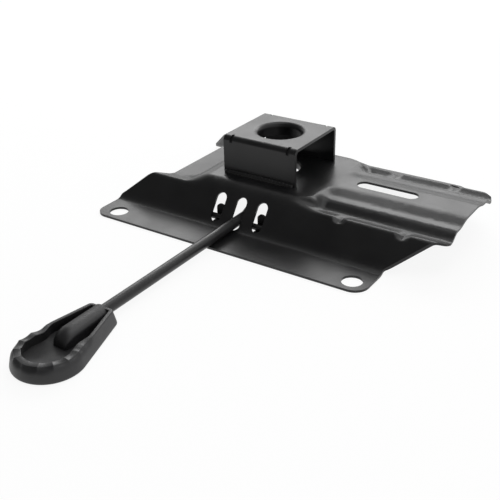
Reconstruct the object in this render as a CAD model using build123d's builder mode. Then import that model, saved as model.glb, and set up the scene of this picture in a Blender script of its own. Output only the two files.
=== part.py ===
from build123d import *

import math
import os

os.makedirs("parts", exist_ok=True)

# Seat swivel plate of an office chair, lying on its seat side with the column bracket up.
# Sizes are in mm. The origin is on the column axis at the bracket's top face, +Z is up,
# +X runs along the plate's front edge and the release lever points along -Y.

# Pressed plate: levels and widths of its top surface, the same on both sides of the X axis
# except that the rear flange is trimmed a little narrower
sheet = 1.5
plateau_z = -24.5
flange_z = -47.7
plateau_half = 39.2
foot_half = 56.1
flange_half = 82.5
rear_flange_half = 81.0
crest_half = 40.0
crest_z = -29.1
left_crest_half = 42.5
left_crest_z = -29.8
left_wing_z = -31.4
left_wing_half = 34.5
band_half = 10.0
step_inner = 18.6
step_outer = 25.2
step_z = -26.9
valley_inner = 30.6
valley_outer = 33.8
valley_z = -31.0
edge_round = 6.0
bend_round = 3.6
crest_round = 1.6
groove_round = 2.0
band_round = 3.2

# Where the plateau turns into the wings along X: at the crests and across the grooves
crest_blend = (30.0, 54.0)
groove_blend = (42.0, 51.0)
groove_reach = (32.0, 38.0)
left_blend = (-47.0, -31.0)

# Small stiffening dents pressed across the crests of the right wing
dent_places = (65.8, 106.2)
dent_depth = 2.8
dent_half_length = 5.0
dent_fall = 0.145
dent_round = 0.3

# Plan outline: both ends are one cut, because the blanks nest
flange_end = 102.5
slope_foot_half = 54.5
crest_end = 124.4
wing_end = 132.0
wing_corner = (130.4, 36.6)
wing_end_half = 33.0
blank_pitch = 195.0
flange_corner = 9.0
end_round = 2.0
blank_margin = 4.0

# How finely the pressed surface is divided
bend_step = 1.3
blend_stations = 8
pressed_half = 62.0

# Holes in the plate
bolt_x = (-79.0, 92.0)
bolt_half = 73.0
bolt_radius = 6.2
long_slot = (56.6, 97.2)
long_slot_width = 9.8
long_slot_y = 1.0
slot_pitch = 15.4
slot_width = 7.4
slot_length = 21.8
side_slot_length = 19.4
lower_bore = 13.4
lower_collar = 4.0
lower_mouth = 1.6

# Column bracket: a U-shaped strap open at both X ends
bracket_x = 53.4
bracket_y = 52.0
strap = 2.0
bracket_bend = 3.6
upper_bore = 14.2
upper_collar = 8.5
upper_mouth = 3.2
strap_dent_x = 21.0
strap_dent_width = 2.0
strap_dent_leg = 4.2
strap_ridge_radius = 2.6
strap_ridge_length = 8.0
strap_ridge_inset = 2.4
weld_leg = 3.0
weld_half_length = 25.5
weld_bulge = 0.58

# Release lever: rod, cross pin and grip
rod_radius = 3.3
rod_z = -43.7
rod_start = -200.0
rod_flat_start = -42.0
rod_flat_full = -28.0
rod_flat_z = -38.6
rod_tip = 6.0
press_width = 8.4
press_thickness = 3.2
pin_radius = 2.0
pin_y = -49.2
pin_z = -45.4
pin_half_length = 22.0
pin_chamfer = 0.4
tongue_width = 6.0
tongue_round = 2.7
tongue_sheet = 1.5
tongue_gap = 0.25
tongue_top = -37.6
tongue_root = -58.5

grip_front = -236.0
grip_rear = -172.8
grip_front_radius = 19.4
grip_rear_half = 9.0
grip_corner = 4.5
grip_top = -40.2
grip_base = flange_z - sheet
grip_lean = 13.0
grip_turn = 4.0
grip_wall = 2.3
grip_floor = 2.0
grip_base_round = 1.8
socket_half = 5.7
socket_height = 4.2
socket_end = -202.5
socket_rear = -175.0
socket_bite = 1.0
rod_hole_stop = 5.0
scallop_count = 8
scallop_first = -200.0
scallop_spread = 220.0
scallop_radius = 5.6
scallop_depth = 0.9
scallop_drop = 2.4

# How far a cutter reaches past what it cuts
cut_margin = 5.0


def rounded_ramp(run, half):
    # Nothing before the corner, slope one after it, and a parabola across it
    if run <= -half:
        return 0.0
    if run >= half:
        return run
    return (run + half) ** 2 / (4 * half)


def profile_height(y, corners):
    # Each corner is a half width, a height and half the length of its rounding
    height = corners[0][1]
    slope = 0.0
    for place, corner in enumerate(corners):
        following = corners[place + 1] if place + 1 < len(corners) else None
        next_slope = (following[1] - corner[1]) / (following[0] - corner[0]) if following else 0.0
        height += (next_slope - slope) * rounded_ramp(abs(y) - corner[0], corner[2])
        slope = next_slope
    return height


plateau_corners = [
    (plateau_half, plateau_z, edge_round),
    (foot_half, flange_z, bend_round),
]
right_corners = [
    (band_half, plateau_z, band_round),
    (step_inner, step_z, groove_round),
    (step_outer, step_z, groove_round),
    (valley_inner, valley_z, crest_round),
    (valley_outer, valley_z, crest_round),
    (crest_half, crest_z, crest_round),
    (foot_half, flange_z, bend_round),
]
left_corners = [
    (left_wing_half, left_wing_z, groove_round),
    (left_crest_half, left_crest_z, groove_round),
    (foot_half, flange_z, bend_round),
]


def share_between(value, start, end):
    return min(max((value - start) / (end - start), 0.0), 1.0)


def smooth_step(value, start, end):
    share = share_between(value, start, end)
    return share * share * (3 - 2 * share)


def top_height(x, y):
    height = profile_height(y, plateau_corners)
    if x > crest_blend[0]:
        # The grooves start more abruptly than the crests
        outward = smooth_step(abs(y), *groove_reach)
        start = groove_blend[0] + (crest_blend[0] - groove_blend[0]) * outward
        end = groove_blend[1] + (crest_blend[1] - groove_blend[1]) * outward
        wing = profile_height(y, right_corners)
        height += (wing - height) * smooth_step(x, start, end)
    if x < left_blend[1]:
        # Rounded where it leaves the plateau, sharp where it meets the wing
        wing = profile_height(y, left_corners)
        height += (wing - height) * share_between(-x, -left_blend[1], -left_blend[0]) ** 1.5
    for place in dent_places:
        # A V across the crest, whose floor falls gently outwards from the groove
        away = abs(x - place) / dent_half_length
        if away < 1 and abs(y) > valley_inner:
            floor = valley_z - dent_fall * (abs(y) - valley_outer) + dent_depth * away
            height -= rounded_ramp(height - floor, dent_round)
    return height


def sheet_point(x, y, depth):
    # The point of the section at x that lies this deep below the top surface, square to it
    step = 0.05
    slope = (top_height(x, y + step) - top_height(x, y - step)) / (2 * step)
    scale = depth / math.sqrt(1 + slope ** 2)
    return (y + slope * scale, top_height(x, y) - scale)


def section_places():
    # Evenly spaced points across the pressed part, between the two flat flanges
    count = math.ceil(2 * pressed_half / bend_step)
    return [pressed_half * (2 * place / count - 1) for place in range(count + 1)]


def station_places():
    # Where the section changes along X: through the blends and across the dents
    places = [flange_end - blank_pitch - blank_margin, wing_end + blank_margin]
    for start, end in (left_blend, crest_blend):
        places += [start + (end - start) * share / blend_stations for share in range(blend_stations + 1)]
    for place in dent_places:
        places += [place - dent_half_length, place, place + dent_half_length]
    return sorted(places)


outline_half = [
    (flange_end, flange_half),
    (flange_end, slope_foot_half),
    (crest_end, crest_half),
    wing_corner,
    (wing_end, wing_end_half),
]
right_edge = [(x, -y) for x, y in outline_half]
right_edge += [(x, min(y, rear_flange_half)) for x, y in reversed(outline_half)]
left_edge = [(x - blank_pitch, y) for x, y in reversed(right_edge)]

slope_angle = math.degrees(math.atan2(plateau_z - flange_z, foot_half - plateau_half))
slot_middle = (0.0, -50.0, -39.35)
# The side slots end level with the middle one at the top
side_slot_rise = (slot_length - side_slot_length) / 2
slope_plane = Plane(
    origin=slot_middle,
    x_dir=(1, 0, 0),
    z_dir=(0, -math.sin(math.radians(slope_angle)), math.cos(math.radians(slope_angle))),
)


def collar_cutter(radius, mouth_round, top, bottom):
    # Section of what is cut for a hole with a rounded mouth, in the XZ plane
    short = mouth_round * (1 - math.cos(math.pi / 4))
    with BuildLine() as line:
        Line((0, bottom), (radius, bottom))
        Line((radius, bottom), (radius, top - mouth_round))
        ThreePointArc(
            (radius, top - mouth_round),
            (radius + short, top - short),
            (radius + mouth_round, top),
        )
        Line((radius + mouth_round, top), (radius + mouth_round, top + 1))
        Line((radius + mouth_round, top + 1), (0, top + 1))
        Line((0, top + 1), (0, bottom))
    return line.line


# The pressed part of every section meets the flat flanges without a kink
level = [(1, 0), (1, 0)]

with BuildPart() as seat_plate:
    for x in station_places():
        with BuildSketch(Plane.YZ.offset(x)):
            with BuildLine():
                top_line = Spline([sheet_point(x, y, 0) for y in section_places()], tangents=level)
                under_line = Spline([sheet_point(x, y, sheet) for y in section_places()], tangents=level)
                for side, end in ((-1, 0), (1, 1)):
                    rim = side * (flange_half + blank_margin)
                    Line(top_line @ end, (rim, flange_z))
                    Line((rim, flange_z), (rim, flange_z - sheet))
                    Line((rim, flange_z - sheet), under_line @ end)
            make_face()
    loft(ruled=True)
    with BuildSketch(Plane.XY.offset(flange_z - cut_margin)):
        with BuildLine():
            Polyline(*(right_edge + left_edge), close=True)
        make_face()
        fillet(vertices().filter_by(lambda v: abs(v.Y) > bolt_half), flange_corner)
        fillet(vertices().filter_by(lambda v: abs(v.Y) < foot_half), end_round)
    extrude(amount=plateau_z - flange_z + 2 * cut_margin, mode=Mode.INTERSECT)
    # Collar drawn down round the lower column hole
    with BuildSketch(Plane.XY.offset(plateau_z - sheet - lower_collar)):
        Circle(lower_bore + sheet)
    extrude(amount=lower_collar + sheet / 2)
    with BuildSketch(Plane.XZ):
        add(collar_cutter(lower_bore, lower_mouth, plateau_z, plateau_z - sheet - lower_collar - cut_margin))
        make_face()
    revolve(axis=Axis.Z, mode=Mode.SUBTRACT)
    # Bolt holes and the long slot
    with BuildSketch(Plane.XY.offset(flange_z)):
        with Locations(*[(x, y) for x in bolt_x for y in (-bolt_half, bolt_half)]):
            Circle(bolt_radius)
    extrude(amount=cut_margin, both=True, mode=Mode.SUBTRACT)
    with BuildSketch(Plane.XY.offset(plateau_z)):
        with Locations(((long_slot[0] + long_slot[1]) / 2, long_slot_y)):
            SlotOverall(long_slot[1] - long_slot[0], long_slot_width)
    extrude(amount=cut_margin, both=True, mode=Mode.SUBTRACT)
    # Three slots through the front slope, the lever's one in the middle
    with BuildSketch(slope_plane):
        SlotOverall(slot_length, slot_width, rotation=90)
        with Locations((-slot_pitch, side_slot_rise), (slot_pitch, side_slot_rise)):
            SlotOverall(side_slot_length, slot_width, rotation=90)
    extrude(amount=cut_margin + sheet, both=True, mode=Mode.SUBTRACT)
    # Tongues bent in from the feet of the side slots, which carry the lever's pin
    tongue_back = pin_y + pin_radius + tongue_gap
    tongue_floor = pin_z - pin_radius - tongue_gap
    for side in (-1, 1):
        with BuildSketch(Plane.YZ.offset(side * slot_pitch - tongue_width / 2)):
            with BuildLine():
                Polyline(
                    (tongue_root, tongue_floor),
                    (tongue_back, tongue_floor),
                    (tongue_back, tongue_top),
                    (tongue_back + tongue_sheet, tongue_top),
                    (tongue_back + tongue_sheet, tongue_floor - tongue_sheet),
                    (tongue_root, tongue_floor - tongue_sheet),
                    close=True,
                )
            make_face()
        extrude(amount=tongue_width)
    tongue_corners = seat_plate.edges().filter_by(Axis.Y)
    tongue_corners = tongue_corners.filter_by_position(Axis.Z, tongue_top - 0.01, tongue_top + 0.01)
    fillet(tongue_corners, tongue_round)

seat_plate.part.label = "seat_plate"
export_step(seat_plate.part, "parts/seat_plate.step")


# The room under the strap, narrowed where the dents of its bends stand out as ridges
with BuildPart() as passage:
    with BuildSketch(Plane.YZ.offset(-bracket_x / 2)):
        with Locations((0, (plateau_z - strap) / 2)):
            Rectangle(bracket_y - 2 * strap, -plateau_z - strap)
        fillet(vertices().group_by(Axis.Y)[-1], bracket_bend - strap)
    extrude(amount=bracket_x)
    for x in (-strap_dent_x, strap_dent_x):
        for side in (-1, 1):
            with Locations((x, side * (bracket_y / 2 - strap_ridge_inset), -strap_ridge_inset)):
                Cylinder(
                    strap_ridge_radius,
                    strap_ridge_length,
                    rotation=(side * 45, 0, 0),
                    mode=Mode.SUBTRACT,
                )

# Column bracket with its drawn hole
with BuildPart() as column_bracket:
    with BuildSketch(Plane.YZ.offset(-bracket_x / 2)):
        with Locations((0, plateau_z / 2)):
            Rectangle(bracket_y, -plateau_z)
        fillet(vertices().group_by(Axis.Y)[-1], bracket_bend)
    extrude(amount=bracket_x)
    add(passage.part, mode=Mode.SUBTRACT)
    with BuildSketch(Plane.XY.offset(-upper_collar)):
        Circle(upper_bore + strap)
    extrude(amount=upper_collar - strap / 2)
    with BuildSketch(Plane.XZ):
        add(collar_cutter(upper_bore, upper_mouth, 0, -upper_collar - cut_margin))
        make_face()
    revolve(axis=Axis.Z, mode=Mode.SUBTRACT)
    # Stiffening dents in both long bends
    for x in (-strap_dent_x, strap_dent_x):
        with BuildSketch(Plane.YZ.offset(x - strap_dent_width / 2)):
            for side in (-1, 1):
                corner = side * bracket_y / 2
                with BuildLine():
                    Polyline(
                        (corner, -strap_dent_leg),
                        (corner - side * strap_dent_leg, 0),
                        (corner + side, 1),
                        close=True,
                    )
                make_face()
        extrude(amount=strap_dent_width, mode=Mode.SUBTRACT)

column_bracket.part.label = "column_bracket"
export_step(column_bracket.part, "parts/column_bracket.step")


def weld_bead(side):
    # Fillet weld along the foot of one bracket wall
    wall = side * bracket_y / 2
    with BuildPart() as bead:
        with BuildSketch(Plane.YZ.offset(-weld_half_length)):
            with BuildLine():
                Line((wall, plateau_z), (wall, plateau_z + weld_leg))
                ThreePointArc(
                    (wall, plateau_z + weld_leg),
                    (wall + side * weld_leg * weld_bulge, plateau_z + weld_leg * weld_bulge),
                    (wall + side * weld_leg, plateau_z),
                )
                Line((wall + side * weld_leg, plateau_z), (wall, plateau_z))
            make_face()
        extrude(amount=2 * weld_half_length)
    return bead


for name, side in (("weld_front", -1), ("weld_rear", 1)):
    bead = weld_bead(side)
    bead.part.label = name
    export_step(bead.part, f"parts/{name}.step")


# Lever rod: round outside, pressed flat where it meets the column's button
with BuildPart() as lever_rod:
    with BuildSketch(Plane.XZ.offset(-rod_start)):
        with Locations((0, rod_z)):
            Circle(rod_radius)
    extrude(amount=rod_start - rod_flat_start)
    with BuildSketch(Plane.XZ.offset(-rod_flat_start)):
        with Locations((0, rod_z)):
            Circle(rod_radius)
    with BuildSketch(Plane.XZ.offset(-rod_flat_full)):
        with Locations((0, rod_flat_z)):
            Ellipse(press_width / 2, press_thickness / 2)
    loft()
    with BuildSketch(Plane.XZ.offset(-rod_flat_full)):
        with Locations((0, rod_flat_z)):
            Ellipse(press_width / 2, press_thickness / 2)
    extrude(amount=rod_flat_full - rod_tip)
    with BuildSketch(Plane.YZ.offset(-pin_half_length)):
        with Locations((pin_y, pin_z)):
            Circle(pin_radius)
    extrude(amount=2 * pin_half_length, mode=Mode.SUBTRACT)

lever_rod.part.label = "lever_rod"
export_step(lever_rod.part, "parts/lever_rod.step")


# Cross pin welded under the rod: the lever turns on it
with BuildPart() as lever_pin:
    with BuildSketch(Plane.YZ.offset(-pin_half_length)):
        with Locations((pin_y, pin_z)):
            Circle(pin_radius)
    extrude(amount=2 * pin_half_length)
    chamfer(edges().filter_by(GeomType.CIRCLE), pin_chamfer)

lever_pin.part.label = "lever_pin"
export_step(lever_pin.part, "parts/lever_pin.step")


# Hollow grip, open side up, with a half-round socket for the rod
arc_centre = grip_front + grip_front_radius
rear_run = grip_rear - arc_centre
rear_reach = math.hypot(rear_run, grip_rear_half)
tangent_angle = math.atan2(grip_rear_half, rear_run) + math.acos(grip_front_radius / rear_reach)
tangent = (
    grip_front_radius * math.sin(tangent_angle),
    arc_centre + grip_front_radius * math.cos(tangent_angle),
)


def grip_outline():
    # Wide round front, straight sides that narrow to the rear, turned a little on the rod
    with BuildSketch(Plane.XY.offset(grip_base)) as outline:
        with BuildLine():
            ThreePointArc((-tangent[0], tangent[1]), (0, grip_front), tangent)
            Line(tangent, (grip_rear_half, grip_rear))
            Line((grip_rear_half, grip_rear), (-grip_rear_half, grip_rear))
            Line((-grip_rear_half, grip_rear), (-tangent[0], tangent[1]))
        make_face()
        fillet(outline.vertices().group_by(Axis.Y)[-1], grip_corner)
    return outline.sketch.rotate(Axis((0, grip_rear, 0), (0, 0, 1)), grip_turn)


outline = grip_outline()
lean = math.tan(math.radians(grip_lean))
rim_radius = grip_front_radius - (grip_top - grip_base) * lean
turn = math.radians(grip_turn)
front_x = rear_run * math.sin(turn)
front_y = grip_rear - rear_run * math.cos(turn)

with BuildPart() as lever_grip:
    with BuildSketch(Plane.XY.offset(grip_base)):
        add(outline)
    extrude(amount=grip_top - grip_base, taper=grip_lean)
    fillet(lever_grip.faces().sort_by(Axis.Z)[0].edges(), grip_base_round)
    with BuildSketch(Plane.XY.offset(grip_base + grip_floor)):
        add(outline)
        offset(amount=-grip_wall - grip_floor * lean, mode=Mode.REPLACE)
    extrude(amount=grip_top - grip_base, taper=grip_lean, mode=Mode.SUBTRACT)
    # Socket ridge round the rod, rising from the floor
    with BuildSketch(Plane.XZ.offset(-socket_end)):
        with Locations((0, rod_z)):
            Ellipse(socket_half, socket_height)
        with Locations((0, (grip_base + socket_bite + rod_z) / 2)):
            Rectangle(2 * socket_half, rod_z - grip_base - socket_bite)
    extrude(amount=socket_end - socket_rear)
    # Scallops round the front of the rim
    for place in range(scallop_count):
        angle = math.radians(scallop_first + scallop_spread * place / (scallop_count - 1)) + turn
        reach = rim_radius + scallop_radius - scallop_depth
        with BuildSketch(Plane.XY.offset(grip_top - scallop_drop)):
            with Locations((front_x + reach * math.cos(angle), front_y + reach * math.sin(angle))):
                Circle(scallop_radius)
        extrude(amount=scallop_drop + cut_margin, mode=Mode.SUBTRACT)
    # Rod hole
    with BuildSketch(Plane.XZ.offset(-rod_start)):
        with Locations((0, rod_z)):
            Circle(rod_radius)
    extrude(amount=rod_start - grip_rear - rod_hole_stop, mode=Mode.SUBTRACT)

lever_grip.part.label = "lever_grip"
export_step(lever_grip.part, "parts/lever_grip.step")
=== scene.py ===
import bmesh
import bpy
import math
from mathutils import Matrix, Vector


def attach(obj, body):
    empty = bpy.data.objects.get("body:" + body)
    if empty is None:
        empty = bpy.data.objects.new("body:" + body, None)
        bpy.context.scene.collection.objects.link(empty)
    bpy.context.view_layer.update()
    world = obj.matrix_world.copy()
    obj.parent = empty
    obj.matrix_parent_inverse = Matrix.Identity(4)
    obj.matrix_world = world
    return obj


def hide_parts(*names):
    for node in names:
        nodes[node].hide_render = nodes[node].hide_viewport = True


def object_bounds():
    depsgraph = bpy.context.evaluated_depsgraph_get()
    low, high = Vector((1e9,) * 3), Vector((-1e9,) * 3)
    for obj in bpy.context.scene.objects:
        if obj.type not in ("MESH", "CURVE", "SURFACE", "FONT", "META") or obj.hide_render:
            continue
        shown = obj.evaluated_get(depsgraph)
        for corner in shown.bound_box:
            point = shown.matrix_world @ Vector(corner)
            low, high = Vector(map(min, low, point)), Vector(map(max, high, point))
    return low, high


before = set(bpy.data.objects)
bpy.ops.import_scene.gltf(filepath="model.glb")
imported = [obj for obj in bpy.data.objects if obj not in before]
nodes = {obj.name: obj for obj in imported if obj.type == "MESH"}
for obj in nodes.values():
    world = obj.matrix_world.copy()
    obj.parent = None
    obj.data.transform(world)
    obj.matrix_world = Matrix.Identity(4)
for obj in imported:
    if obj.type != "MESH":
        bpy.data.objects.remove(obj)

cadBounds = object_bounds()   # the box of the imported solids
scene = bpy.context.scene
mm = 0.001
print("frame loaded")


def addNode(tree, kind, inputs=None, **settings):
    # Inputs go by name or number: another node's output is linked, anything else is a value
    node = tree.nodes.new(kind)
    for name, value in settings.items():
        setattr(node, name, value)
    for name, value in (inputs or {}).items():
        if isinstance(value, bpy.types.NodeSocket):
            tree.links.new(value, node.inputs[name])
        else:
            node.inputs[name].default_value = value
    return node


def addMath(tree, operation, *values):
    return addNode(tree, "ShaderNodeMath", dict(enumerate(values)), operation=operation).outputs[0]


def newObject(name, data):
    piece = bpy.data.objects.new(name, data)
    scene.collection.objects.link(piece)
    return piece


def keepResult(piece, name):
    # Works out the piece's modifiers once and keeps what they make as its plain mesh
    graph = bpy.context.evaluated_depsgraph_get()
    finished = bpy.data.meshes.new_from_object(piece.evaluated_get(graph))
    piece.modifiers.clear()
    piece.data = finished
    finished.name = name
    return finished


def smoothByAngle(mesh, degrees):
    # Smooth faces, with a sharp edge wherever the surface turns by more than this
    for face in mesh.polygons:
        face.use_smooth = True
    mesh.set_sharp_from_angle(angle=math.radians(degrees))


def bridgeRows(shape, rows):
    # Four-sided faces between each closed row of points and the next
    for first, second in zip(rows, rows[1:]):
        for place in range(len(first)):
            after = (place + 1) % len(first)
            shape.faces.new((first[place], first[after], second[after], second[place]))


# Camera: the angle the photograph was taken from
viewpoint = {
    "place": (0.2691, -0.4350, 0.1883),
    "azimuth": 34.32,   # this, elevation and roll are in degrees
    "elevation": 28.42,
    "roll": -1.2,
    "lens": 60.09,
    "sensor": 36,
    "shift": (0.0057, 0.0024),
    "nearest": 0.01,
}


def makeCamera():
    turn = math.radians(viewpoint["azimuth"])
    rise = math.radians(viewpoint["elevation"])
    roll = math.radians(viewpoint["roll"])
    flat = math.cos(rise)
    ahead = Vector((-math.sin(turn) * flat, math.cos(turn) * flat, -math.sin(rise)))
    level = Vector((math.cos(turn), math.sin(turn), 0))
    upright = level.cross(ahead)
    right = level * math.cos(roll) + upright * math.sin(roll)
    up = upright * math.cos(roll) - level * math.sin(roll)
    lens = bpy.data.cameras.new("photoCamera")
    lens.lens = viewpoint["lens"]
    lens.sensor_width = viewpoint["sensor"]
    lens.shift_x, lens.shift_y = viewpoint["shift"]
    lens.clip_start = viewpoint["nearest"]
    camera = newObject("photoCamera", lens)
    place = viewpoint["place"]
    camera.matrix_world = Matrix((
        (right.x, up.x, -ahead.x, place[0]),
        (right.y, up.y, -ahead.y, place[1]),
        (right.z, up.z, -ahead.z, place[2]),
        (0, 0, 0, 1),
    ))
    scene.camera = camera


makeCamera()
scene.view_settings.view_transform = "Standard"
print("camera set")


# Studio: pale floor, soft light, white behind and darker in front
studio = {
    "floorGap": 0.0001,                # keeps the floor clear of the flanges
    "floorReach": 6.0,
    "floorColor": (0.86, 0.86, 0.86, 1),
    "floorWhite": 1.04,
    "glow": 0.86,                      # how much of the floor is its own white
    "darkSide": (-0.45, -0.72, 0.53),  # where the room behind the camera is
    "darkFrom": 0.1,                   # the air starts to darken here, towards darkSide
    "darkFull": 0.85,
    "darkLevel": 0.16,
    "whiteLevel": 1.0,
    "aim": (0.0, 0.0, -0.03),          # both lamps point here
    "backLamp": {"place": (-0.35, 0.95, 0.62), "size": (1.3, 0.5), "power": 7.0},
    "topLamp": {"place": (0.15, 0.1, 1.25), "size": (0.9, 0.9), "power": 3.0},
}


def makeFloor():
    reach = studio["floorReach"]
    height = cadBounds[0][2] - studio["floorGap"]
    corners = [(-reach, -reach), (reach, -reach), (reach, reach), (-reach, reach)]
    mesh = bpy.data.meshes.new("studioFloor")
    mesh.from_pydata([(x, y, height) for x, y in corners], [], [(0, 1, 2, 3)])
    floor = newObject("studioFloor", mesh)
    material = bpy.data.materials.new("studioFloorPaint")
    material.use_nodes = True
    tree = material.node_tree
    tree.nodes.clear()
    paint = addNode(tree, "ShaderNodeBsdfDiffuse", {"Color": studio["floorColor"]})
    white = addNode(tree, "ShaderNodeEmission", {"Strength": studio["floorWhite"]})
    # The camera, reflections and clear things see the floor's own white
    rays = addNode(tree, "ShaderNodeLightPath").outputs
    seen = addMath(tree, "ADD", rays["Is Camera Ray"], rays["Is Glossy Ray"])
    seen = addMath(tree, "ADD", seen, rays["Is Transmission Ray"])
    seen = addMath(tree, "MINIMUM", seen, 1.0)
    share = addMath(tree, "MULTIPLY", seen, studio["glow"])
    mixed = addNode(tree, "ShaderNodeMixShader", {
        0: share, 1: paint.outputs[0], 2: white.outputs[0],
    })
    addNode(tree, "ShaderNodeOutputMaterial", {"Surface": mixed.outputs[0]})
    mesh.materials.append(material)


def makeWorld():
    world = bpy.data.worlds.new("studioAir")
    scene.world = world
    world.use_nodes = True
    tree = world.node_tree
    tree.nodes.clear()
    around = addNode(tree, "ShaderNodeTexCoord").outputs["Generated"]
    darkSide = Vector(studio["darkSide"]).normalized()
    side = addNode(tree, "ShaderNodeVectorMath", {0: around, 1: darkSide}, operation="DOT_PRODUCT")
    fade = addNode(tree, "ShaderNodeMapRange", {
        "Value": side.outputs["Value"],
        "From Min": studio["darkFrom"], "From Max": studio["darkFull"],
        "To Min": studio["whiteLevel"], "To Max": studio["darkLevel"],
    }, interpolation_type="SMOOTHSTEP")
    air = addNode(tree, "ShaderNodeBackground", {"Strength": fade.outputs["Result"]})
    addNode(tree, "ShaderNodeOutputWorld", {"Surface": air.outputs[0]})


def makeLamp(name):
    facts = studio[name]
    lamp = bpy.data.lights.new(name, "AREA")
    lamp.shape = "RECTANGLE"
    lamp.size, lamp.size_y = facts["size"]
    lamp.energy = facts["power"]
    holder = newObject(name, lamp)
    holder.location = facts["place"]
    aim = Vector(studio["aim"]) - Vector(facts["place"])
    holder.rotation_euler = aim.to_track_quat("-Z", "Y").to_euler()


makeFloor()
makeWorld()
makeLamp("backLamp")
makeLamp("topLamp")
print("studio lit")


# Finishes: each is mottled between two tones and two dullnesses
coatFacts = {
    "plateCoat": {
        "dark": (0.0085, 0.0085, 0.009, 1), "pale": (0.013, 0.013, 0.0135, 1),
        "smooth": 0.30, "dull": 0.38, "grain": 900.0, "cloud": 45.0,
        "bump": 0.10, "shine": 0.42,
    },
    "rodCoat": {
        "dark": (0.010, 0.010, 0.0105, 1), "pale": (0.016, 0.016, 0.0165, 1),
        "smooth": 0.28, "dull": 0.40, "grain": 1300.0, "cloud": 90.0,
        "bump": 0.12, "shine": 0.45,
    },
    "gripPlastic": {
        "dark": (0.013, 0.013, 0.014, 1), "pale": (0.018, 0.018, 0.019, 1),
        "smooth": 0.36, "dull": 0.46, "grain": 1700.0, "cloud": 60.0,
        "bump": 0.16, "shine": 0.55,
    },
}
slotFinish = {"plate_coat": "plateCoat", "rod_coat": "rodCoat", "grip_plastic": "gripPlastic"}
grainFacts = {
    "fineDetail": 2.0,
    "cloudDetail": 4.0,
    "cloudSpan": (0.32, 0.68),   # the part of the slow noise that spans both tones
    "bumpReach": 0.2 * mm,
}


def makeGrainGroup():
    # Fine orange peel plus slow clouding, shared by every finish
    group = bpy.data.node_groups.new("coatGrain", "ShaderNodeTree")
    for name in ("Grain Scale", "Cloud Scale"):
        group.interface.new_socket(name, in_out="INPUT", socket_type="NodeSocketFloat")
    for name in ("Clouding", "Height"):
        group.interface.new_socket(name, in_out="OUTPUT", socket_type="NodeSocketFloat")
    entry = addNode(group, "NodeGroupInput").outputs
    place = addNode(group, "ShaderNodeTexCoord").outputs["Object"]
    fine = addNode(group, "ShaderNodeTexNoise", {
        "Vector": place, "Scale": entry["Grain Scale"], "Detail": grainFacts["fineDetail"],
    })
    slow = addNode(group, "ShaderNodeTexNoise", {
        "Vector": place, "Scale": entry["Cloud Scale"], "Detail": grainFacts["cloudDetail"],
    })
    low, high = grainFacts["cloudSpan"]
    spread = addNode(group, "ShaderNodeMapRange", {
        "Value": slow.outputs["Fac"], "From Min": low, "From Max": high,
    })
    addNode(group, "NodeGroupOutput", {
        "Clouding": spread.outputs["Result"], "Height": fine.outputs["Fac"],
    })
    return group


grainGroup = makeGrainGroup()


def makeCoat(name):
    facts = coatFacts[name]
    material = bpy.data.materials.new(name)
    material.use_nodes = True
    tree = material.node_tree
    shader = tree.nodes["Principled BSDF"]
    grain = addNode(tree, "ShaderNodeGroup", {
        "Grain Scale": facts["grain"], "Cloud Scale": facts["cloud"],
    }, node_tree=grainGroup)
    clouding = grain.outputs["Clouding"]
    tone = addNode(tree, "ShaderNodeMix", {"Factor": clouding}, data_type="RGBA")
    ends = [socket for socket in tone.inputs if socket.type == "RGBA"]
    ends[0].default_value = facts["dark"]
    ends[1].default_value = facts["pale"]
    toneOut = next(socket for socket in tone.outputs if socket.type == "RGBA")
    dullness = addNode(tree, "ShaderNodeMapRange", {
        "Value": clouding, "To Min": facts["smooth"], "To Max": facts["dull"],
    })
    relief = addNode(tree, "ShaderNodeBump", {
        "Height": grain.outputs["Height"], "Strength": facts["bump"],
        "Distance": grainFacts["bumpReach"],
    })
    tree.links.new(toneOut, shader.inputs["Base Color"])
    tree.links.new(dullness.outputs["Result"], shader.inputs["Roughness"])
    tree.links.new(relief.outputs["Normal"], shader.inputs["Normal"])
    shader.inputs["Specular IOR Level"].default_value = facts["shine"]
    return material


finishes = {name: makeCoat(name) for name in coatFacts}


def finishFor(slot):
    return finishes[slotFinish[slot]]


print("finishes made")


# Dressed copies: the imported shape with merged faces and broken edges
dressFacts = {
    "plateSkin": {
        "node": "seat_plate", "body": "plate", "slot": "plate_coat", "edge": 0.12 * mm,
    },
    "bracketSkin": {
        "node": "column_bracket", "body": "plate", "slot": "plate_coat", "edge": 0.45 * mm,
    },
    "rodSkin": {
        "node": "lever_rod", "body": "lever", "slot": "rod_coat", "edge": 0.3 * mm,
    },
    "pinSkin": {
        "node": "lever_pin", "body": "lever", "slot": "rod_coat", "edge": 0.15 * mm,
    },
}
edgeFacts = {
    "mergeWithin": 0.002 * mm,
    "flatWithin": 0.4,      # degrees: faces that turn less than this become one
    "breakFrom": 38,        # degrees: edges that turn more than this are broken
    "breakSteps": 2,
    "sharpFrom": 40,        # degrees
    "flatWeight": 70,
}


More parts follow.
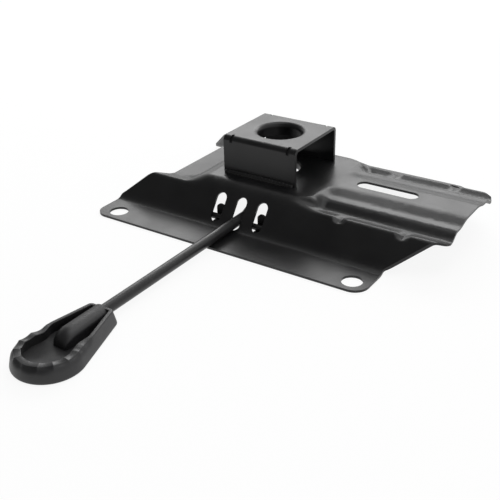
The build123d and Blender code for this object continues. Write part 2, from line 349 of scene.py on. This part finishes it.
def dressCopy(name):
    facts = dressFacts[name]
    mesh = nodes[facts["node"]].data.copy()
    shape = bmesh.new()
    shape.from_mesh(mesh)
    bmesh.ops.remove_doubles(shape, verts=shape.verts, dist=edgeFacts["mergeWithin"])
    bmesh.ops.dissolve_limit(
        shape, angle_limit=math.radians(edgeFacts["flatWithin"]),
        verts=shape.verts, edges=shape.edges,
    )
    shape.to_mesh(mesh)
    shape.free()
    piece = newObject(name, mesh)
    bevel = piece.modifiers.new("brokenEdges", "BEVEL")
    bevel.width = facts["edge"]
    bevel.segments = edgeFacts["breakSteps"]
    bevel.limit_method = "ANGLE"
    bevel.angle_limit = math.radians(edgeFacts["breakFrom"])
    bevel.use_clamp_overlap = True
    smoothByAngle(keepResult(piece, name), edgeFacts["sharpFrom"])
    # Broad faces keep their own direction, so flat steel beside a bend shades flat
    even = piece.modifiers.new("evenShading", "WEIGHTED_NORMAL")
    even.mode = "FACE_AREA"
    even.weight = edgeFacts["flatWeight"]
    even.keep_sharp = True
    finished = keepResult(piece, name)
    finished.materials.clear()
    finished.materials.append(finishFor(facts["slot"]))
    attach(piece, facts["body"])
    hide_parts(facts["node"])


for name in dressFacts:
    dressCopy(name)
    print(name, "dressed")


# Weld beads: a rippled quarter round along each foot of the bracket
weldFacts = {
    "leg": 3.0 * mm,
    "halfLength": 25.5 * mm,
    "wallY": 26.0 * mm,
    "footZ": -24.5 * mm,
    "pitch": 2.6 * mm,       # from one ripple to the next
    "ripple": 0.06,          # this, fullness, drift and least are shares of the leg
    "fullness": 0.90,
    "drift": 0.12,
    "least": 0.25,
    "driftScale": 180.0,
    "endEase": 0.12,         # smaller is blunter
    "crescent": 0.5,         # how far a ripple bows, in ripples
    "bowGap": 2.0 * mm,      # no bowing this near an end
    "steps": 320,
    "profileSteps": 14,
    "seed": 4,
    "seedStep": 2.0,         # added for the rear bead and taken off for the front one
    "mergeWithin": 0.001 * mm,
    "sharpFrom": 60,         # degrees
}


def makeWeldTree():
    tree = bpy.data.node_groups.new("weldBead", "GeometryNodeTree")
    wanted = {
        "Start": "Vector", "End": "Vector", "Leg": "Float", "Pitch": "Float", "Ripple": "Float",
        "Fullness": "Float", "Drift": "Float", "Drift Scale": "Float", "Least": "Float",
        "End Ease": "Float", "First Angle": "Float", "Steps": "Int", "Profile Steps": "Int",
        "Seed": "Float", "Finish": "Material",
    }
    for name, kind in wanted.items():
        tree.interface.new_socket(name, in_out="INPUT", socket_type="NodeSocket" + kind)
    tree.interface.new_socket("Geometry", in_out="OUTPUT", socket_type="NodeSocketGeometry")
    entry = addNode(tree, "NodeGroupInput").outputs
    path = addNode(tree, "GeometryNodeCurvePrimitiveLine", {
        "Start": entry["Start"], "End": entry["End"],
    })
    divided = addNode(tree, "GeometryNodeResampleCurve", {
        "Curve": path.outputs[0], "Count": entry["Steps"],
    })
    along = addNode(tree, "GeometryNodeSplineParameter").outputs
    # Each ripple is a low arch, and slow noise makes some fuller than others
    phase = addMath(tree, "FRACT", addMath(tree, "DIVIDE", along["Length"], entry["Pitch"]))
    arch = addMath(tree, "SINE", addMath(tree, "MULTIPLY", phase, math.pi))
    swell = addMath(tree, "MULTIPLY", addMath(tree, "SUBTRACT", arch, 1.0), entry["Ripple"])
    spot = addNode(tree, "GeometryNodeInputPosition").outputs[0]
    uneven = addNode(tree, "ShaderNodeTexNoise", {
        "Vector": spot, "W": entry["Seed"], "Scale": entry["Drift Scale"],
    }, noise_dimensions="4D")
    drift = addMath(tree, "SUBTRACT", uneven.outputs["Fac"], 0.5)
    drift = addMath(tree, "MULTIPLY", drift, entry["Drift"])
    size = addMath(tree, "ADD", addMath(tree, "ADD", swell, drift), entry["Fullness"])
    # The bead rounds off at both ends
    ends = addMath(tree, "SINE", addMath(tree, "MULTIPLY", along["Factor"], math.pi))
    size = addMath(tree, "MULTIPLY", size, addMath(tree, "POWER", ends, entry["End Ease"]))
    size = addMath(tree, "MAXIMUM", size, entry["Least"])
    profile = addNode(tree, "GeometryNodeCurveArc", {
        "Resolution": entry["Profile Steps"], "Radius": entry["Leg"],
        "Start Angle": entry["First Angle"], "Sweep Angle": math.radians(90),
        "Connect Center": True,
    }, mode="RADIUS")
    sweep = addNode(tree, "GeometryNodeCurveToMesh", {
        "Curve": divided.outputs[0], "Profile Curve": profile.outputs[0],
        "Scale": size, "Fill Caps": True,
    })
    coated = addNode(tree, "GeometryNodeSetMaterial", {
        "Geometry": sweep.outputs[0], "Material": entry["Finish"],
    })
    addNode(tree, "NodeGroupOutput", {"Geometry": coated.outputs[0]})
    return tree


weldTree = makeWeldTree()


def bakeTree(name, tree, values):
    # Runs a node tree once, with its inputs set by their identifiers
    holder = newObject(name, bpy.data.meshes.new(name))
    modifier = holder.modifiers.new("shape", "NODES")
    modifier.node_group = tree
    for item in tree.interface.items_tree:
        if item.in_out == "INPUT":
            modifier[item.identifier] = values[item.name]
    keepResult(holder, name)
    return holder


def makeWeld(name, node, side):
    facts = weldFacts
    y = side * facts["wallY"]
    z = facts["footZ"]
    half = facts["halfLength"]
    piece = bakeTree(name, weldTree, {
        "Start": (-half, y, z), "End": (half, y, z),
        "Leg": facts["leg"], "Pitch": facts["pitch"], "Ripple": facts["ripple"],
        "Fullness": facts["fullness"], "Drift": facts["drift"],
        "Drift Scale": facts["driftScale"], "Least": facts["least"],
        "End Ease": facts["endEase"], "First Angle": math.radians(270 if side < 0 else 180),
        "Steps": facts["steps"], "Profile Steps": facts["profileSteps"],
        "Seed": facts["seed"] + side * facts["seedStep"], "Finish": finishFor("plate_coat"),
    })
    shape = bmesh.new()
    shape.from_mesh(piece.data)
    bmesh.ops.remove_doubles(shape, verts=shape.verts, dist=facts["mergeWithin"])
    bmesh.ops.recalc_face_normals(shape, faces=shape.faces)
    # Ripples bow forward halfway between the wall and the plate
    for vert in shape.verts:
        out, high = abs(vert.co.y - y), vert.co.z - z
        reach = min(math.hypot(out, high) / facts["leg"], 1)
        bow = 1 - (2 * math.atan2(high, out) / (math.pi / 2) - 1) ** 2
        if abs(vert.co.x) < half - facts["bowGap"]:
            vert.co.x += facts["crescent"] * facts["pitch"] * bow * reach
    shape.to_mesh(piece.data)
    shape.free()
    smoothByAngle(piece.data, facts["sharpFrom"])
    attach(piece, "plate")
    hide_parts(node)


makeWeld("weldFrontBead", "weld_front", -1)
makeWeld("weldRearBead", "weld_rear", 1)
print("welds laid")


# Grip, in millimetres: a moulded spoon with leaning walls, a wavy rim and a ridge over the rod
gripFacts = {
    "front": -236.0, "rear": -172.8, "frontRadius": 19.4, "rearHalf": 9.0,
    "corner": 4.5, "leastCorner": 0.1,
    "top": -40.2, "base": -49.2,
    "lean": 13.0, "turn": 4.0,   # degrees
    "wall": 2.1, "floor": 1.3, "baseRound": 1.8, "rimRound": 0.5,
    "landWide": 4.2,             # width of the rim round the front, where the wall is thicker
    "waist": (-198.0, -206.0),   # along y: where it starts, and where it is whole
    "waistInset": 0.8,
    "scallopPitch": 9.0, "scallopInset": 0.7, "scallopDip": 0.5, "scallopBlunt": 0.8,
    "fadeFrom": 0.6,             # share of the outer wall below which it has no waves
    "fadeCurve": 1.5,
    "innerTop": 1.5,             # how far below the rim the inner wall starts
    "innerStep": 0.2, "innerSlope": 0.4,
    "bowlStart": 0.9,            # how far above the floor the inner wall gives way to the bowl
    "bowlCurve": 2.4,
    "spine": (-217.5, -184.0),   # the bowl closes in on this line along the middle
    "mixInset": 4.4,             # inset of the inner of the two outlines that are mixed
    "outerShares": (0.25, 0.5, 0.7, 0.82, 0.92),
    "innerShares": (0.35, 0.65, 0.85),
    "bowlShares": (0.05, 0.12, 0.2, 0.3, 0.42, 0.56, 0.72, 0.9),
    "arcSteps": 180, "sideSteps": 24, "cornerSteps": 8, "rearSteps": 6,
    "baseSteps": 6, "rimSteps": 3,
    "sharpFrom": 50,             # degrees
}
ridgeFacts = {
    "half": 5.7, "height": 4.2, "rodZ": -43.7,
    "foot": 1.0,                 # how far above the grip's base the ridge starts, in its floor
    "start": -198.0, "end": -207.0, "rear": -175.0,
    "noseLow": 0.12,             # share of the height left at the tip
    "noseNarrow": 0.55,          # share of the width that doesn't shrink with the height
    "rearShares": (0.25, 0.5, 0.75, 1.0),
    "noseSteps": 10, "archSteps": 24,
}


def gripOutline(inset):
    # The outline moved inwards by this much, always with its points in the same order
    facts = gripFacts
    centre = facts["front"] + facts["frontRadius"]
    run = facts["rear"] - centre
    half = facts["rearHalf"]
    lean = math.atan2(half, run) + math.acos(facts["frontRadius"] / math.hypot(run, half))
    radius = facts["frontRadius"] - inset
    front = []
    for step in range(facts["arcSteps"] + 1):
        angle = lean + (2 * math.pi - 2 * lean) * step / facts["arcSteps"]
        front.append(Vector((math.sin(angle) * radius, centre + math.cos(angle) * radius)))
    # Left side, straight to the rear and round its corner
    start = Vector((-math.sin(lean), math.cos(lean))) * radius + Vector((0, centre))
    along = Vector((math.cos(lean), math.sin(lean)))
    corner = start + along * ((facts["rear"] - inset - start.y) / along.y)
    turn = max(facts["corner"] - inset, facts["leastCorner"])
    bend = math.acos(along.x)   # angle between the side and the rear edge
    cut = turn * math.tan(bend / 2)
    sideEnd = corner - along * cut
    rearStart = corner + Vector((cut, 0))
    steps = facts["sideSteps"]
    left = [start.lerp(sideEnd, step / steps) for step in range(1, steps)]
    middle = rearStart - Vector((0, turn))
    for step in range(facts["cornerSteps"] + 1):
        angle = math.pi / 2 + bend * (1 - step / facts["cornerSteps"])
        left.append(middle + Vector((math.cos(angle), math.sin(angle))) * turn)
    rearEnd = Vector((-rearStart.x, rearStart.y))
    steps = facts["rearSteps"]
    rear = [rearStart.lerp(rearEnd, step / steps) for step in range(1, steps)]
    right = [Vector((-point.x, point.y)) for point in reversed(left)]
    return front + left + rear + right


def rimWaves(outline):
    # For each point: how far into the round front it is, and how deep in a scallop
    facts = gripFacts
    start, end = facts["waist"]
    travel = 0.0
    last = outline[0]
    waves = []
    for point in outline:
        travel += (point - last).length
        last = point
        into = max(0.0, min(1.0, (start - point.y) / (start - end)))
        into = into * into * (3 - 2 * into)
        wave = abs(math.sin(math.pi * travel / facts["scallopPitch"])) ** facts["scallopBlunt"]
        waves.append((into, into * wave))
    return waves


def gripRings():
    # Rings of points up the outside, over the rim and down the inner wall
    facts = gripFacts
    top, base = facts["top"], facts["base"]
    foot, soft = facts["baseRound"], facts["rimRound"]
    lean = math.tan(math.radians(facts["lean"]))
    outer = gripOutline(0.0)
    inner = gripOutline(facts["mixInset"])
    waves = rimWaves(outer)
    rings = []

    def ring(inset, height, waist=0.0, land=0.0, dip=0.0, waved=1):
        # Two outlines are mixed point by point, so each point can have its own inset.
        # waist, land and dip say how much of the waist, the rim's width and the waves it has.
        row = []
        for near, far, (into, wave) in zip(outer, inner, waves):
            pulled = facts["waistInset"] * into + facts["scallopInset"] * wave * waved
            wide = facts["wall"] + (facts["landWide"] - facts["wall"]) * into
            z = height - dip * facts["scallopDip"] * wave
            inward = waist * pulled + land * wide + inset + (z - base) * lean
            spot = near.lerp(far, inward / facts["mixInset"])
            row.append((spot.x, spot.y, z))
        rings.append(row)

    def quarter(steps):
        # Sine and cosine at even steps over a right angle
        angles = [math.pi / 2 * step / steps for step in range(steps + 1)]
        return [(math.sin(angle), math.cos(angle)) for angle in angles]

    for sine, cosine in quarter(facts["baseSteps"]):
        ring(foot * (1 - sine), base + foot * (1 - cosine))
    # Outer wall: the waist and the scallops fade in over its upper part
    for share in facts["outerShares"]:
        grow = max(0.0, (share - facts["fadeFrom"]) / (1 - facts["fadeFrom"]))
        grow = grow ** facts["fadeCurve"]
        height = base + foot + (top - soft - base - foot) * share
        ring(0.0, height, waist=grow, dip=0.6 * grow)
    # The waves get a little weaker across the rim
    for sine, cosine in quarter(facts["rimSteps"]):
        ring(soft * (1 - cosine), top - soft + soft * sine, waist=1.0, dip=1.0)
    ring(0.0, top, waist=0.8, land=0.5, dip=0.95)
    for sine, cosine in quarter(facts["rimSteps"]):
        ring(-soft * (1 - sine), top - soft * (1 - cosine), waist=0.6, land=1.0, dip=0.9)
    # Inner wall: steep, and without waves
    wallTop = top - facts["innerTop"]
    wallFoot = base + facts["floor"] + facts["bowlStart"]
    for share in facts["innerShares"]:
        inset = facts["innerSlope"] * share + facts["innerStep"]
        ring(inset, wallTop + (wallFoot - wallTop) * share, waist=0.6, land=1.0, waved=0)
    return rings


def makeGrip():
    facts = gripFacts
    rings = gripRings()
    shape = bmesh.new()
    rows = [[shape.verts.new([value * mm for value in spot]) for spot in ring] for ring in rings]
    bridgeRows(shape, rows)
    shape.faces.new(list(reversed(rows[0])))
    # Bowl: rings that close in on the spine and sink to the floor
    floorZ = facts["base"] + facts["floor"]
    spineFront, spineRear = facts["spine"]
    bowl = [rows[-1]]
    for share in facts["bowlShares"]:
        row = []
        for x, y, z in rings[-1]:
            middle = Vector((0, min(max(y, spineFront), spineRear)))
            flat = Vector((x, y)).lerp(middle, share)
            depth = floorZ + (z - floorZ) * (1 - share) ** facts["bowlCurve"]
            row.append(shape.verts.new((flat.x * mm, flat.y * mm, depth * mm)))
        bowl.append(row)
    bridgeRows(shape, bowl)
    shape.faces.new(bowl[-1])
    bmesh.ops.recalc_face_normals(shape, faces=shape.faces)
    turning = Matrix.Rotation(math.radians(facts["turn"]), 3, "Z")
    hub = (0, facts["rear"] * mm, 0)
    bmesh.ops.rotate(shape, verts=shape.verts, cent=hub, matrix=turning)
    mesh = bpy.data.meshes.new("gripShell")
    shape.to_mesh(mesh)
    shape.free()
    return newObject("gripShell", mesh)


def makeRidge():
    # Half-round ridge from the rear wall, with a nose that sinks into the bowl
    facts = ridgeFacts
    start, end, rear = facts["start"], facts["end"], facts["rear"]
    low, narrow = facts["noseLow"], facts["noseNarrow"]
    stations = []
    for step in range(facts["noseSteps"] + 1):
        angle = math.pi / 2 * step / facts["noseSteps"]
        place = start + (end - start) * math.cos(angle)
        stations.append((place, low + (1 - low) * math.sin(angle)))
    for share in facts["rearShares"]:
        stations.append((start + (rear - start) * share, 1.0))
    shape = bmesh.new()
    footZ = gripFacts["base"] + facts["foot"]
    spring = facts["rodZ"] - footZ   # the arch starts this far above the foot
    rows = []
    for y, size in stations:
        half = facts["half"] * (narrow + (1 - narrow) * size)
        row = [(-half, footZ)]
        for step in range(facts["archSteps"] + 1):
            angle = math.pi * (1 - step / facts["archSteps"])
            rise = spring + facts["height"] * math.sin(angle)
            row.append((math.cos(angle) * half, footZ + rise * size))
        row.append((half, footZ))
        rows.append([shape.verts.new((x * mm, y * mm, z * mm)) for x, z in row])
    bridgeRows(shape, rows)
    shape.faces.new(rows[0])
    shape.faces.new(list(reversed(rows[-1])))
    bmesh.ops.recalc_face_normals(shape, faces=shape.faces)
    mesh = bpy.data.meshes.new("gripRidge")
    shape.to_mesh(mesh)
    shape.free()
    return newObject("gripRidge", mesh)


def joinGrip():
    shell = makeGrip()
    ridge = makeRidge()
    union = shell.modifiers.new("ridgeUnion", "BOOLEAN")
    union.operation = "UNION"
    union.solver = "EXACT"
    union.object = ridge
    finished = keepResult(shell, "gripShell")
    bpy.data.objects.remove(ridge)
    smoothByAngle(finished, gripFacts["sharpFrom"])
    finished.materials.append(finishFor("grip_plastic"))
    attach(shell, "lever")
    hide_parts("lever_grip")


joinGrip()
print("grip moulded")
